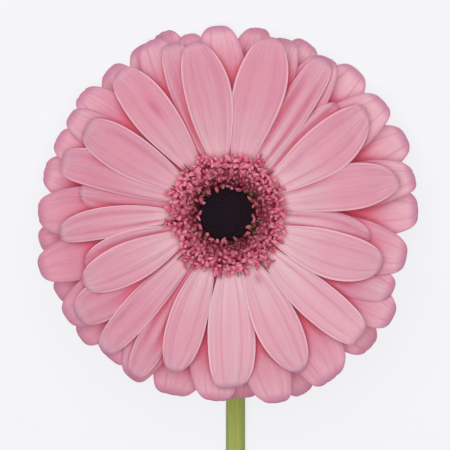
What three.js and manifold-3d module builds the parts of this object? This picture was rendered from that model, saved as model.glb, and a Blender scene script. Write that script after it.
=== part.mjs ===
// A cut gerbera lying face up on a flat surface.
//
// The bloom is a flat composite head: four overlapping whorls of pink ray florets round a cushion of small
// curled disc florets, with a near-black eye of unopened buds. A green cup of bracts carries it. The bare
// stem bends below that cup, then runs along the surface to a slanted cut. The flower rests on the stem and
// on the tips of the lowest ray florets.
//
// Millimetres, +Z up. The origin is on the stem's flat underside, where the stem first lies on the surface.
// The bloom is modelled in a frame of its own, with its face along +Z, and is then tipped over by HEAD_TILT.
import * as THREE from "three";
import { mergeVertices } from "three/addons/utils/BufferGeometryUtils.js";
import Module from "manifold-3d";

const wasm = await Module();
wasm.setup();

const DEG = Math.PI / 180;
const GOLDEN_ANGLE = 137.508 * DEG;
const GAP = 0.3; // between two pieces that seat on each other
const SLIVER = 0.06; // details smaller than this are dropped where shapes cross

// Stem
const STEM_SIDES = 12;
const STEM_NECK_RADIUS = 2.8;
const STEM_CUT_RADIUS = 3.5;
const STEM_SWELL_START = 30; // how far along it the stem begins to thicken towards the cut
const STEM_COLLAR_RADIUS = 3.5; // where the stem widens into the cup of bracts
const STEM_COLLAR_LENGTH = 7;
const STEM_BEND_RADIUS = 14; // of the bend behind the head
const STEM_BEND_STEPS = 7;
const STEM_LYING_STEPS = 22;
const STEM_END_Y = -372;
const STEM_SIDESTEP = 2.8; // the drift sideways under the petals
const STEM_SIDESTEP_Y = [-2, -40];
const STEM_SWAY = 8; // the long gentle curve beyond the petals
const STEM_SWAY_PERIOD = 560;
const STEM_SWAY_EASE = 160;
const STEM_SWAY_START_Y = -56;
const CUT_SLANT = 0.55; // how far the cut leans, per millimetre of height

// Head
const HEAD_TILT = 22 * DEG; // from facing straight up, towards +Y
const HEAD_Y = 25;
const CUP_DEPTH = 13; // from the stem to the underside of the hub
const CUP_RADIUS = 12.2;
const HUB_RADIUS = 15;
const HUB_TAPER = 1.5;
const HUB_HEIGHT = 5.8;
const DISC_FLOOR = HUB_HEIGHT + GAP; // the disc florets and the eye stand on the hub
const RING_RADIUS = 15;
const EYE_RADIUS = 7.5;
const EYE_WALL = 1.4;
const EYE_CROWN = 1.6;
const EYE_BUDS = 90;
const EYE_BUD_HEIGHT = 0.6;
const EYE_BUD_RADIUS = 0.8;

const collarHeight = STEM_BEND_RADIUS * (1 - Math.sin(HEAD_TILT)) + apothem(STEM_NECK_RADIUS);
const headPosition = new THREE.Vector3(0, HEAD_Y, collarHeight + CUP_DEPTH * Math.cos(HEAD_TILT));

// Bracts, from the stem up: from and to are the heights of their roots and points, and the last whorl's
// points stand off the cup.
const BRACT_WHORLS = [
  { count: 9, from: -11.5, to: -4.5, width: 4.8, thickness: 0.45, standOff: 0 },
  { count: 12, from: -9, to: -1.8, width: 4.8, thickness: 0.6, standOff: 0 },
  { count: 16, from: -6, to: -0.4, width: 4.4, thickness: 0.75, standOff: 2.6 },
];

// Disc florets, from the rim in: the outer ones splay over the petals and the inner ones lean over the eye.
const FLORET_WIDTH = 1.25;
const FLORET_WHORLS = [
  { count: 38, radius: 14, foot: DISC_FLOOR + 0.6, height: 2.6, lean: 3.4, curl: 0.25 },
  { count: 32, radius: 12.2, foot: DISC_FLOOR + 1, height: 3.6, lean: 1.6, curl: 0.2 },
  { count: 25, radius: 10, foot: DISC_FLOOR + 0.8, height: 3.8, lean: -1.5, curl: 0.25 },
];

// Ray florets, from the back whorl to the front one. Each petal is [bearing, reach, width, tip]: degrees
// counter-clockwise from +X as seen from in front, the tip's distance from the head's axis, the greatest
// width, and how far the tip narrows, from 0.3 for a blunt one to 1.3 for a pointed one. Without the last
// value the tip is TIP_SHAPE.
const PETAL_ROOT = 11.5; // inside the hub
const PETAL_THICKNESS = 0.7;
const PETAL_ROOT_SHARE = 0.38; // the root's width beside the greatest width
const PETAL_SHOULDER = 0.64; // where along the petal it is widest
const PETAL_ROWS = [0, 0.35, PETAL_SHOULDER, 0.86, 1];
const PETAL_COLUMNS = 4;
const PETAL_SWEEP = 2; // degrees, the most that a root stands to one side of its tip
const PETAL_ROLL = Math.tan(5 * DEG);
const PETAL_LIFT = 0.5;
const TIP_ARC = 66 * DEG; // how far round the rounded tip the side edges run
const TIP_SHAPE = 0.75;
const WHORLS = [
  {
    rootZ: 0.9, rise: 0.8, droop: 7.4, fold: 0.5,
    petals: [
      [1.5, 55.9, 14.6], [23, 57, 15], [47.5, 56.7, 15], [65.5, 55.5, 14], [81.5, 54.8, 13],
      [108.5, 56.1, 13], [118, 55.2, 12.5], [129, 54.4, 12.5], [147, 54.6, 13], [167, 54.6, 14],
      [188.5, 55.2, 12.5], [205.5, 54.8, 13], [220.5, 56, 13.5], [252.5, 55.2, 15.5], [274, 54.2, 13.5],
      [293.5, 57.2, 13], [317, 57.4, 15], [335.5, 54.4, 13],
    ],
  },
  {
    rootZ: 2.1, rise: 2, droop: 4.8, fold: 0.6,
    petals: [
      [11, 55.6, 13.5], [35.5, 56, 14.5], [57, 53.8, 13.5], [71, 53.5, 13], [92.5, 55, 14.5],
      [102, 53.2, 11], [114, 54.8, 13], [138.5, 54.6, 13.5], [156, 53.7, 13.5], [179.5, 55, 14.5],
      [196.5, 56.6, 13.5], [213, 55.4, 13.5], [229, 54, 13], [239.5, 55.8, 13.5], [266.5, 54.8, 15],
      [285, 56.8, 14.5], [303.5, 57, 17, 0.45], [328, 56.9, 14.5], [346, 53.7, 14.5],
    ],
  },
  {
    rootZ: 3.3, rise: 3, droop: 3.4, fold: 0.8,
    petals: [
      [47, 41.5, 11], [57.5, 52.8, 12.5], [108, 51.5, 13.5], [163.5, 50, 13], [172.5, 43, 10.5],
      [214.5, 52.4, 13], [228, 52.9, 9.5], [239, 53.2, 12], [351.5, 42.3, 11.5],
    ],
  },
  {
    rootZ: 4.5, rise: 3.6, droop: 2.6, fold: 0.8,
    petals: [
      [10.5, 51, 13, 0.6], [35, 50, 14.6, 1.1], [75, 52, 14.4, 0.6], [99.5, 49.5, 13.7, 0.9],
      [126, 51, 12.8, 0.9], [148, 47.8, 11.8, 1.2], [186, 48.2, 10.8, 0.95], [203.5, 45.9, 14.3, 0.9],
      [250, 47.8, 11.8, 1.1], [270.5, 50.4, 14.3, 0.35], [294.5, 50, 13, 0.85], [316.3, 52.7, 13.2, 0.8],
      [340, 47.5, 14, 0.95],
    ],
  },
];

// The distance from the stem's centre line to its flat underside.
function apothem(radius) {
  return radius * Math.cos(Math.PI / STEM_SIDES);
}

// A repeatable draw between -1 and 1.
function draw(index, salt) {
  const x = Math.sin(index * 12.9898 + salt * 78.233) * 43758.5453;
  return 2 * (x - Math.floor(x)) - 1;
}

function smoothstep(x) {
  const t = Math.min(1, Math.max(0, x));
  return t * t * (3 - 2 * t);
}

function solidOf(geometry) {
  const bare = new THREE.BufferGeometry();
  bare.setAttribute("position", geometry.getAttribute("position").clone());
  bare.setIndex(geometry.index);
  const merged = mergeVertices(bare, 1e-4);
  const vertProperties = merged.attributes.position.array;
  const triVerts = new Uint32Array(merged.index.array);
  return new wasm.Manifold(new wasm.Mesh({ numProp: 3, vertProperties, triVerts }));
}

function geometryOf(solid) {
  const { vertProperties, triVerts } = solid.getMesh();
  const geometry = new THREE.BufferGeometry();
  geometry.setAttribute("position", new THREE.BufferAttribute(vertProperties, 3));
  geometry.setIndex(new THREE.BufferAttribute(triVerts, 1));
  geometry.computeVertexNormals();
  return geometry;
}

// Joins closed shapes into one, and drops the slivers that their crossings leave.
function fuse(geometries) {
  return geometryOf(wasm.Manifold.union(geometries.map(solidOf)).simplify(SLIVER));
}

// A turned shape about +Z from [radius, height] pairs.
function turned(profile, segments) {
  const points = profile.map(([radius, height]) => new THREE.Vector2(radius, height));
  return new THREE.LatheGeometry(points, segments).rotateX(Math.PI / 2);
}

// A blade: a box whose rows run along it, at s from 0 to 1, and whose columns run across it, at v from -1
// to 1. place(s, v, side, point) sets the point on its upper face (side 1) or its lower face (side -1).
function blade(rows, columns, place) {
  const steps = rows.length - 1;
  const box = new THREE.BoxGeometry(2, steps, 2, columns, steps, 1);
  const position = box.getAttribute("position");
  const point = new THREE.Vector3();
  for (let i = 0; i < position.count; i++) {
    point.fromBufferAttribute(position, i);
    const row = Math.round(point.y + steps / 2);
    place(rows[row], point.x, Math.sign(point.z), point);
    position.setXYZ(i, point.x, point.y, point.z);
  }
  return box;
}

// A height in the head's frame, raised where needed to lie the clearance above the surface below.
function aboveSurface(y, z, clearance) {
  const surface = (clearance - headPosition.z + y * Math.sin(HEAD_TILT)) / Math.cos(HEAD_TILT);
  return Math.max(z, surface);
}

// Where the point (s, v) of a petal lies: across as a share of half the width, and along as a share of the
// length. Up to the shoulder the rows are straight, and beyond it they bow into the round tip.
function petalOutline(s, v, tip) {
  if (s <= PETAL_SHOULDER) {
    const swell = Math.sin((Math.PI / 2) * (s / PETAL_SHOULDER)) ** 1.1;
    return { across: v * (PETAL_ROOT_SHARE + (1 - PETAL_ROOT_SHARE) * swell), along: s };
  }
  const t = (s - PETAL_SHOULDER) / (1 - PETAL_SHOULDER);
  const edge = Math.sin(TIP_ARC * t);
  const dip = 1 - Math.sqrt(1 - Math.abs(v) ** (2 / tip) * Math.cos(TIP_ARC) ** 2);
  const bow = dip / (1 - Math.sin(TIP_ARC));
  return {
    across: v * Math.cos(TIP_ARC * t) ** tip,
    along: PETAL_SHOULDER + (1 - PETAL_SHOULDER) * (t + (edge - t) * bow),
  };
}

// One petal: it rises from the hub, droops to its tip, and has two grooves beside a low midrib, with its
// margins turned up.
function petal(whorl, [bearing, reach, width, tip = TIP_SHAPE], seed) {
  const sweep = PETAL_SWEEP * draw(seed, 1);
  const roll = PETAL_ROLL * draw(seed, 2);
  const lift = PETAL_LIFT * draw(seed, 3);
  return blade(PETAL_ROWS, PETAL_COLUMNS, (s, v, side, point) => {
    const { across, along } = petalOutline(s, v, tip);
    const radius = PETAL_ROOT + (reach - PETAL_ROOT) * along;
    const offset = (-across * width) / 2;
    const angle = (bearing + sweep * (along * along - 1)) * DEG;
    const x = radius * Math.cos(angle) - offset * Math.sin(angle);
    const y = radius * Math.sin(angle) + offset * Math.cos(angle);
    const rise = whorl.rise * (1 - (1 - along) ** 2) - whorl.droop * along ** 3;
    const crease = whorl.fold * (0.1 - 3 * Math.abs(v) + 3.6 * v * v);
    const relief = (crease + lift * along) * smoothstep(along * 3) + roll * offset * along;
    const z = whorl.rootZ + rise + relief + (side * PETAL_THICKNESS) / 2;
    point.set(x, y, aboveSurface(y, z, side > 0 ? PETAL_THICKNESS : 0));
  });
}

function rayFlorets() {
  const hub = new THREE.CylinderGeometry(HUB_RADIUS, HUB_RADIUS - HUB_TAPER, HUB_HEIGHT, 36);
  hub.rotateX(Math.PI / 2).translate(0, 0, HUB_HEIGHT / 2);
  const petals = WHORLS.flatMap((whorl, w) =>
    whorl.petals.map((measured, i) => petal(whorl, measured, 100 * w + i)),
  );
  return fuse([hub, ...petals]);
}

// A disc floret: a square tube that leans away from the head's axis, or towards it, and curls at its lip.
function discFloret({ bearing, radius, foot, height, lean, curl }) {
  const spine = new THREE.CubicBezierCurve3(
    new THREE.Vector3(0, 0, 0),
    new THREE.Vector3(0, 0, height * 0.7),
    new THREE.Vector3(lean * 0.55, 0, height * 1.1),
    new THREE.Vector3(lean, 0, height * (1 - curl)),
  );
  const centre = new THREE.Vector3();
  const tangent = new THREE.Vector3();
  const floret = blade([0, 0.55, 1], 1, (s, v, side, point) => {
    spine.getPoint(s, centre);
    spine.getTangent(s, tangent);
    const half = FLORET_WIDTH * (0.42 + 0.16 * s);
    const depth = side * FLORET_WIDTH * (0.42 - 0.12 * s);
    point.set(centre.x + tangent.z * depth, v * half, centre.z - tangent.x * depth);
  });
  return floret.translate(radius, 0, foot).rotateZ(bearing);
}

// The disc florets on the low ring that they grow from.
function discFlorets() {
  const inner = EYE_RADIUS + GAP;
  const ring = turned(
    [
      [inner, DISC_FLOOR], [RING_RADIUS - 1, DISC_FLOOR], [RING_RADIUS, DISC_FLOOR + 0.8],
      [RING_RADIUS - 1.5, DISC_FLOOR + 2.2], [inner + 1.2, DISC_FLOOR + 2], [inner, DISC_FLOOR + 1.2],
      [inner, DISC_FLOOR],
    ],
    32,
  );
  const florets = FLORET_WHORLS.flatMap((whorl, w) =>
    Array.from({ length: whorl.count }, (_, i) =>
      discFloret({
        ...whorl,
        bearing: (2 * Math.PI * (i + 0.5 * w + 0.25 * draw(i, 10 + w))) / whorl.count,
        height: whorl.height * (1 + 0.12 * draw(i, 20 + w)),
        lean: whorl.lean * (1 + 0.3 * draw(i, 30 + w)),
      }),
    ),
  );
  return fuse([ring, ...florets]);
}

// The eye: a low dome of unopened buds in golden-angle spirals, raised from its surface by a formula.
function discEye() {
  const buds = Array.from({ length: EYE_BUDS }, (_, i) => {
    const radius = EYE_RADIUS * Math.sqrt((i + 0.5) / EYE_BUDS);
    return new THREE.Vector2(radius, 0).rotateAround(new THREE.Vector2(), i * GOLDEN_ANGLE);
  });
  const top = DISC_FLOOR + EYE_WALL;
  const rings = 9;
  const profile = [[0, DISC_FLOOR], [EYE_RADIUS, DISC_FLOOR]];
  for (let i = 0; i < rings; i++) {
    profile.push([EYE_RADIUS * Math.cos((Math.PI / 2) * (i / rings)), top]);
  }
  profile.push([0, top]);
  const dome = turned(profile, 30);
  const position = dome.getAttribute("position");
  for (let i = 0; i < position.count; i++) {
    const here = new THREE.Vector2(position.getX(i), position.getY(i));
    const onTop = position.getZ(i) > DISC_FLOOR + EYE_WALL / 2;
    const crown = EYE_CROWN * (1 - (here.length() / EYE_RADIUS) ** 2);
    const nearest = Math.min(...buds.map((bud) => bud.distanceTo(here)));
    const bud = EYE_BUD_HEIGHT * Math.max(0, 1 - nearest / EYE_BUD_RADIUS);
    if (onTop) position.setZ(i, top + crown + bud);
  }
  return fuse([dome]);
}

function cupWall(z) {
  const share = Math.max(0, 1 + z / CUP_DEPTH);
  return STEM_COLLAR_RADIUS + (CUP_RADIUS - STEM_COLLAR_RADIUS) * Math.sin((Math.PI / 2) * share ** 0.8);
}

// The cup of bracts: a turned shape with overlapping whorls of pointed, ridged bracts on its side.
function involucre() {
  const steps = 5;
  const profile = [[0, -CUP_DEPTH]];
  for (let i = 0; i <= steps; i++) {
    const z = -CUP_DEPTH + ((CUP_DEPTH - GAP) * i) / steps;
    profile.push([cupWall(z), z]);
  }
  profile.push([0, -GAP]);
  const bracts = BRACT_WHORLS.flatMap((whorl, w) =>
    Array.from({ length: whorl.count }, (_, i) => {
      const bract = blade([0, 0.65, 1], 2, (s, v, side, point) => {
        const z = whorl.from + (whorl.to - whorl.from) * s;
        const ridge = v === 0 ? 0.35 : 0;
        const face = side > 0 ? whorl.thickness + ridge : -0.5;
        const half = (whorl.width / 2) * (1 - 0.85 * s ** 5);
        point.set(cupWall(z) + face + whorl.standOff * s ** 4, v * half, z);
      });
      return bract.rotateZ((2 * Math.PI * (i + 0.5 * w)) / whorl.count);
    }),
  );
  return fuse([turned(profile, 24), ...bracts]);
}

// How far to the side the lying stem is.
function stemX(y) {
  const [from, to] = STEM_SIDESTEP_Y;
  const past = Math.max(0, STEM_SWAY_START_Y - y);
  const sway = Math.sin((2 * Math.PI * past) / STEM_SWAY_PERIOD) * smoothstep(past / STEM_SWAY_EASE);
  return STEM_SIDESTEP * smoothstep((from - y) / (from - to)) - STEM_SWAY * sway;
}

// The stem's centre line, with its direction at each place. It starts square to the cup, bends down to the
// surface in the YZ plane, and then lies on it.
function stemRoute() {
  const turn = 90 * DEG - HEAD_TILT;
  const neck = new THREE.Vector3(0, -Math.cos(turn), -Math.sin(turn));
  const cupFoot = headPosition.clone().addScaledVector(neck, CUP_DEPTH);
  const lieY = cupFoot.y - STEM_BEND_RADIUS * Math.cos(HEAD_TILT);
  const lieZ = apothem(STEM_NECK_RADIUS);
  const route = [{ centre: cupFoot.clone().addScaledVector(neck, GAP), along: neck }];
  for (let i = 1; i < STEM_BEND_STEPS; i++) {
    const left = turn * (1 - i / STEM_BEND_STEPS);
    const centre = new THREE.Vector3(0, Math.sin(left), 1 - Math.cos(left)).multiplyScalar(STEM_BEND_RADIUS);
    centre.add(new THREE.Vector3(0, lieY, lieZ));
    route.push({ centre, along: new THREE.Vector3(0, -Math.cos(left), -Math.sin(left)) });
  }
  for (let i = 0; i <= STEM_LYING_STEPS; i++) {
    const y = lieY + (STEM_END_Y - lieY) * (i / STEM_LYING_STEPS);
    const along = new THREE.Vector3(stemX(y - 0.5) - stemX(y + 0.5), -1, 0).normalize();
    route.push({ centre: new THREE.Vector3(stemX(y), y, lieZ), along });
  }
  return route;
}

// The stem's radius at a distance along it: a collar, a slim neck, and a slow swelling towards the cut.
function stemRadius(distance, length) {
  const collar = (STEM_COLLAR_RADIUS - STEM_NECK_RADIUS) * (1 - smoothstep(distance / STEM_COLLAR_LENGTH));
  const swelling = Math.max(0, (distance - STEM_SWELL_START) / (length - STEM_SWELL_START));
  return STEM_NECK_RADIUS + collar + (STEM_CUT_RADIUS - STEM_NECK_RADIUS) * swelling;
}

function stem() {
  const route = stemRoute();
  const distances = [0];
  for (let i = 1; i < route.length; i++) {
    distances.push(distances[i - 1] + route[i].centre.distanceTo(route[i - 1].centre));
  }
  const last = route.length - 1;
  const flatDown = Math.PI / STEM_SIDES;
  const tube = new THREE.CylinderGeometry(1, 1, last, STEM_SIDES, last, false, flatDown);
  const position = tube.getAttribute("position");
  const sideways = new THREE.Vector3();
  const upward = new THREE.Vector3();
  for (let i = 0; i < position.count; i++) {
    const row = Math.round(last / 2 - position.getY(i));
    const { centre, along } = route[row];
    const radius = stemRadius(distances[row], distances[last]);
    const height = position.getZ(i) * radius;
    sideways.set(1, 0, 0).addScaledVector(along, -along.x).normalize();
    upward.crossVectors(along, sideways);
    const point = centre.clone();
    point.addScaledVector(sideways, position.getX(i) * radius).addScaledVector(upward, height);
    if (along.z === 0) point.z += apothem(radius) - apothem(STEM_NECK_RADIUS);
    if (row === last) point.addScaledVector(along, -CUT_SLANT * height);
    position.setXYZ(i, point.x, point.y, point.z);
  }
  return fuse([tube]);
}

function mesh(name, geometry, color, roughness) {
  const made = new THREE.Mesh(geometry, new THREE.MeshStandardMaterial({ color, roughness, metalness: 0 }));
  made.name = name;
  return made;
}

const head = new THREE.Group();
head.add(
  mesh("involucre", involucre(), 0x6f8a3a, 0.7),
  mesh("ray_florets", rayFlorets(), 0xdf9bb0, 0.6),
  mesh("disc_florets", discFlorets(), 0xc4607c, 0.6),
  mesh("disc_eye", discEye(), 0x241c22, 0.8),
);
head.rotation.x = -HEAD_TILT;
head.position.copy(headPosition);

const flower = new THREE.Group();
flower.add(head, mesh("stem", stem(), 0x97a44e, 0.6));

export default flower;
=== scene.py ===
# The looks of a cut gerbera that lies face up on a pale surface.
#
# Fine petals, florets, buds, bracts and stem take the place of the coarse solids, in metres and in the
# frame's own axes. The bloom is worked out in the head's frame, in millimetres with its face along +Z, and is
# then tipped over into place.
import math

import bpy
import numpy as np
from mathutils import Matrix, Vector


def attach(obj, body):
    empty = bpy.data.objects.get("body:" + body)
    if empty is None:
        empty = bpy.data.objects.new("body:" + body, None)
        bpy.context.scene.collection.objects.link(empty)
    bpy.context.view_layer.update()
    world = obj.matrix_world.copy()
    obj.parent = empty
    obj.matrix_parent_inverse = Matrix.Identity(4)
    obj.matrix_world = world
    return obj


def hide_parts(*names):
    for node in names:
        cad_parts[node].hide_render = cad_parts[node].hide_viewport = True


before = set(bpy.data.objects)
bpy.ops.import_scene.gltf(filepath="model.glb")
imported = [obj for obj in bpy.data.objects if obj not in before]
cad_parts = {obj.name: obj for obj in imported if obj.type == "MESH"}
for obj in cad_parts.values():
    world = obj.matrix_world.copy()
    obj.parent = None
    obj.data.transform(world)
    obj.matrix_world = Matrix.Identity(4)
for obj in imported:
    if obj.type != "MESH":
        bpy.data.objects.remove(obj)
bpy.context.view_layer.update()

MM = 0.001
GOLDEN_ANGLE = math.radians(137.508)
IMAGE_PIXELS = 450

# Head and stem, in millimetres, as in the solids
HEAD_TILT = math.radians(22)
HEAD_Y = 25
CUP_DEPTH = 13
CUP_RADIUS = 12.2
HUB_RADIUS = 15
HUB_HEIGHT = 5.8
DISC_FLOOR = 6.1
DISC_SIDES = 64
EYE_RADIUS = 7.5
STEM_SIDES = 12
STEM_NECK_RADIUS = 2.8
STEM_CUT_RADIUS = 3.5
STEM_SWELL_START = 30
STEM_COLLAR_RADIUS = 3.5
STEM_COLLAR_LENGTH = 7
STEM_BEND_RADIUS = 14
STEM_END_Y = -372
STEM_SIDESTEP = 2.8
STEM_SIDESTEP_Y = (-2, -40)
STEM_SWAY = 8
STEM_SWAY_PERIOD = 560
STEM_SWAY_EASE = 160
STEM_SWAY_START_Y = -56
CUT_SLANT = 0.55
STEM_FLAT = math.cos(math.pi / STEM_SIDES)  # centre height over radius, where the stem lies
HEAD_Z = (
    STEM_BEND_RADIUS * (1 - math.sin(HEAD_TILT))
    + STEM_NECK_RADIUS * STEM_FLAT
    + CUP_DEPTH * math.cos(HEAD_TILT)
)

# Ray florets, in millimetres. Each petal is (bearing, reach, width, tip, sweep): degrees
# counter-clockwise from +X, the tip's distance from the axis, the greatest width, how far the tip
# narrows, and the degrees by which the root lags behind the tip. The last two may be left out. The
# petals of a whorl are listed as they lie, each one over those before it, and are palest round a bearing:
# that paleness is painted light, which makes one side of the whorl look more lit than the other.
PETAL_ROOT = 11.5
PETAL_SHOULDER = 0.64
PETAL_THICKNESS = 0.36
PETAL_GAP = 0.08
# The light margin's lightness is partly a painted highlight on its raised rim.
PETAL_MARGIN = 0.12  # share of the half width that the thin, light margin takes
PETAL_SWEEP = 2
PETAL_ROLL = math.tan(math.radians(3.5))
PETAL_LIFT = 0.5
PETAL_ROWS = 46
PETAL_COLUMNS = 27
TIP_ARC = math.radians(66)
TIP_SHAPE = 0.65
TIP_TEETH = 0.2
TIP_CURL = 0.8
LAYING_STEPS = 40
WHORLS = {
    "petals_back": dict(
        root=0.9, root_width=0.45, rise=0.8, droop=7.4, fold=0.5, pale=50, outermost=True,
        petals=[
            (0.8, 55.9, 15.8), (23, 57, 15.2), (47.5, 56.7, 15.4), (64.5, 55.2, 14), (80.5, 54.8, 12.6),
            (109.5, 56, 12), (118, 55, 12.5), (129.5, 54.4, 14), (167, 54.6, 14.8),
            (188.5, 55.2, 12.5), (205.5, 54.8, 13), (220.5, 56, 13.5), (253.2, 55.2, 16.5, 0.5),
            (274.5, 54, 15.5, 0.5), (293.5, 57.2, 13), (317, 57.4, 15),
        ],
    ),
    "petals_third": dict(
        root=3.4, root_width=0.5, rise=2, droop=4.8, fold=0.6, pale=35, outermost=True,
        petals=[
            (102, 53.2, 11), (11, 55.6, 13.5), (35.3, 56, 15.2), (57, 53.8, 13.5), (71, 53.5, 13),
            (93, 54.4, 14.2), (114, 54.8, 13), (140.5, 54.6, 13.5), (156, 53.7, 13.5), (148, 53.6, 11.5),
            (180, 54.6, 14.8), (196.5, 56.6, 13.5), (213, 55.4, 14.2), (231, 54, 14.5, 0.5),
            (239.5, 55.2, 13.5), (266.5, 54.4, 15.6), (285, 56.8, 14.5), (302.5, 57, 17, 0.55),
            (328, 56.9, 14.5), (335, 53.2, 12.6), (346, 53.7, 15.2),
        ],
    ),
    "petals_second": dict(
        root=3.9, root_width=0.3, rise=3, droop=3.4, fold=1.1, pale=0, outermost=False,
        petals=[
            (43.5, 44.8, 11, 0.9, 3.5), (57, 52.8, 9.4, 0.6), (108, 51.5, 10.8, 0.6), (172, 43, 10.4, 0.9, 0),
            (162.5, 50, 11.4, 0.5, 3.5), (214.5, 52.4, 13), (240.5, 54.2, 9.2, 0.7), (228, 53.4, 9.4, 0.6),
            (349.5, 42.3, 9.2, 0.75, -5),
        ],
    ),
    "petals_front": dict(
        root=4.6, root_width=0.22, rise=3.6, droop=2.6, fold=0.8, pale=288, outermost=False,
        petals=[
            (11.1, 50.9, 13.4, 1.14, -1.9), (36.2, 50.1, 14.4, 1.03, 5.1), (75.4, 52.4, 14.8, 0.98, 0.4),
            (100.9, 50.4, 13.5, 1.04, 3.2), (127.3, 51.4, 12.4, 0.68, 1.7), (148.8, 47.6, 12.3, 0.57, 0),
            (187, 48.5, 9, 0.6, 4.5), (199.5, 43.4, 10.6, 1.1, -1), (206, 46, 12, 0.87, -1.5),
            (251.5, 48.2, 11.3, 0.89, 2.2), (271.5, 50.4, 13.9, 0.56, -1.2), (295.2, 50.4, 12.9, 1.1, 1.1),
            (317.5, 52.7, 11.8, 0.54, 2.2), (341.5, 47.3, 13.9, 0.92, 4.1),
        ],
    ),
}

# Stains on two of the front petals, by the petal's bearing: their place along and across it and how far they
# spread, as shares of its length and of half its width
STAINS = {127.3: (0.63, -0.2, 0.09, 0.17), 295.2: (0.24, 0.15, 0.045, 0.28)}

# Disc florets, in millimetres: open ones in a spiral between two radii, with closed buds inside them. In
# some places, each given as (bearing, strength), they stand out further.
FLORETS = 210
FLORET_INNER = 10.5
FLORET_OUTER = 15
FLORET_LOBES = (1.5, 1.15, 1.15)  # the outermost lobe first, as shares of the floret's own size
FLORET_BUDS = 85
BUD_INNER = 8
BUD_OUTER = 10.8
FLORET_TUFTS = (
    (45, 0.7), (57, 1.4), (114, 1.3), (134, 0.5), (155, 0.2), (187, 0.7),
    (224, 1.5), (238, 0.9), (262, 1), (284, 0.9), (309, 1.1),
)
TUFT_SPREAD = 6
FLORET_FOOT = DISC_FLOOR + 0.7
TUBE_SIDES = 8
LOBE_ROWS = 9
LOBE_COLUMNS = 5
LOBE_THICKNESS = 0.2
LOBE_START = 0.3  # radians that a lobe leans at its own root
INWARD_LOBES = 36
INWARD_LOBE_RADIUS = 9
INNER_STYLES = 22
INNER_STYLE_RADIUS = 10.2
DARKEST_BEARING = math.radians(290)  # the side on which the florets next to the eye are darkest

# Eye, in millimetres
EYE_SIDES = 48
EYE_BUDS = 230
EYE_WALL = 1.4
EYE_CROWN = 1.6

# Cup of bracts, in millimetres: heights of each whorl's feet and points, how far its bracts stand off the
# cup's wall, and how far their points flare out
BRACT_WHORLS = [
    dict(count=14, foot=-12.2, point=-4.2, width=4.4, stand=0.55, flare=0.3),
    dict(count=18, foot=-9.6, point=-1.9, width=4.4, stand=0.75, flare=0.5),
    dict(count=22, foot=-6.8, point=-0.5, width=4, stand=0.95, flare=2.6),
]
BRACT_ROWS = 14
BRACT_COLUMNS = 9
BRACT_DEPTHS = (-0.18, 0.18)  # a bract's inner and outer face, from the middle between them
CUP_SIDES = 72

# Stem, in millimetres: its fineness, its ridges, its cut face with rings as shares of its radius, and hairs
STEM_RING = 72
STEM_ROWS_BEND = 24
STEM_ROWS_LYING = 190
STEM_RIDGES = 9
STEM_RIDGE_HEIGHT = 0.022  # share of the radius
CUT_RINGS = (1, 0.97, 0.9, 0.75, 0.55, 0.35, 0.15, 0.02)
CUT_PLUG = 1.2
CUT_LIP = 0.35
PITH_SUNK = 0.27
STEM_HAIRS = 5200
BRACT_HAIRS = 26
HAIR_COLUMNS = 180
HAIR_GIRTH = 0.028
HAIR_CLEARANCE = 0.4

# The map of the petals' heights, in millimetres. How far the petals round a point stand above it is read on
# rings, each (distance, share), from a least height and a slope, and is painted as deep rose shade, showing
# less and less between two radii.
MAP_HALF = 66
MAP_CELL = 0.5
SHADE_RINGS = ((0.7, 0.28), (1.6, 0.28), (3.2, 0.26), (5.6, 0.22))
SHADE_STEPS = 12
SHADE_START = 0.18
SHADE_SLOPE = 0.75
SHADE_FADE = (40, 52)

# Camera, in millimetres: along the head's axis, with the head's centre at the photograph's place
CAMERA_DISTANCE = 905
CAMERA_LENS = 250
CAMERA_SENSOR = 36
HEAD_PIXEL = (226.5, 213.5)

# A pale floor, in metres, that glows, so that shadows on it stay faint
FLOOR_SIZE = 12
FLOOR_COLOUR = (110, 110, 111)
FLOOR_GLOW_COLOUR = (246, 246, 249)
FLOOR_GLOW = 0.83

# Light, in metres and watts: an even studio glow, and one broad soft lamp almost in front of the head
STUDIO_GLOW = 0.28
LAMP_PLACE = (-0.08, 0.62, 1.4)
LAMP_AIM = (0, 0.02, 0.02)
LAMP_SIZE = 1.4
LAMP_POWER = 20.4


def draw(index, salt):
    """A repeatable draw between -1 and 1."""
    x = math.sin(index * 12.9898 + salt * 78.233) * 43758.5453
    return 2 * (x - math.floor(x)) - 1


def smoothstep(x):
    """Smoothly from 0 at 0 to 1 at 1."""
    t = np.clip(x, 0, 1)
    return t * t * (3 - 2 * t)


def bell(x):
    return np.exp(-x * x)


def soft_max(a, b, blend):
    """The larger of two heights, rounded where they meet."""
    return np.maximum(a, b) + 0.25 * blend * np.clip(1 - np.abs(a - b) / blend, 0, 1) ** 2


def angles(count):
    """Even angles round a circle."""
    return np.linspace(0, 2 * math.pi, count, endpoint=False)


def colour(red, green, blue):
    """A display colour, 0 to 255, as the linear colour that shaders take."""
    shares = [value / 255 for value in (red, green, blue)]
    linear = [share / 12.92 if share <= 0.04045 else ((share + 0.055) / 1.055) ** 2.4 for share in shares]
    return (*linear, 1)


def head_to_world(points):
    """Points of the head's frame in millimetres, as points of the frame in metres."""
    x, y, z = np.moveaxis(points, -1, 0)
    cos, sin = math.cos(HEAD_TILT), math.sin(HEAD_TILT)
    return np.stack([x, HEAD_Y + y * cos + z * sin, HEAD_Z - y * sin + z * cos], axis=-1) * MM


def floor_in_head(y, clearance):
    """The height in the head's frame that lies the clearance above the surface."""
    return (clearance - HEAD_Z + y * math.sin(HEAD_TILT)) / math.cos(HEAD_TILT)


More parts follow.
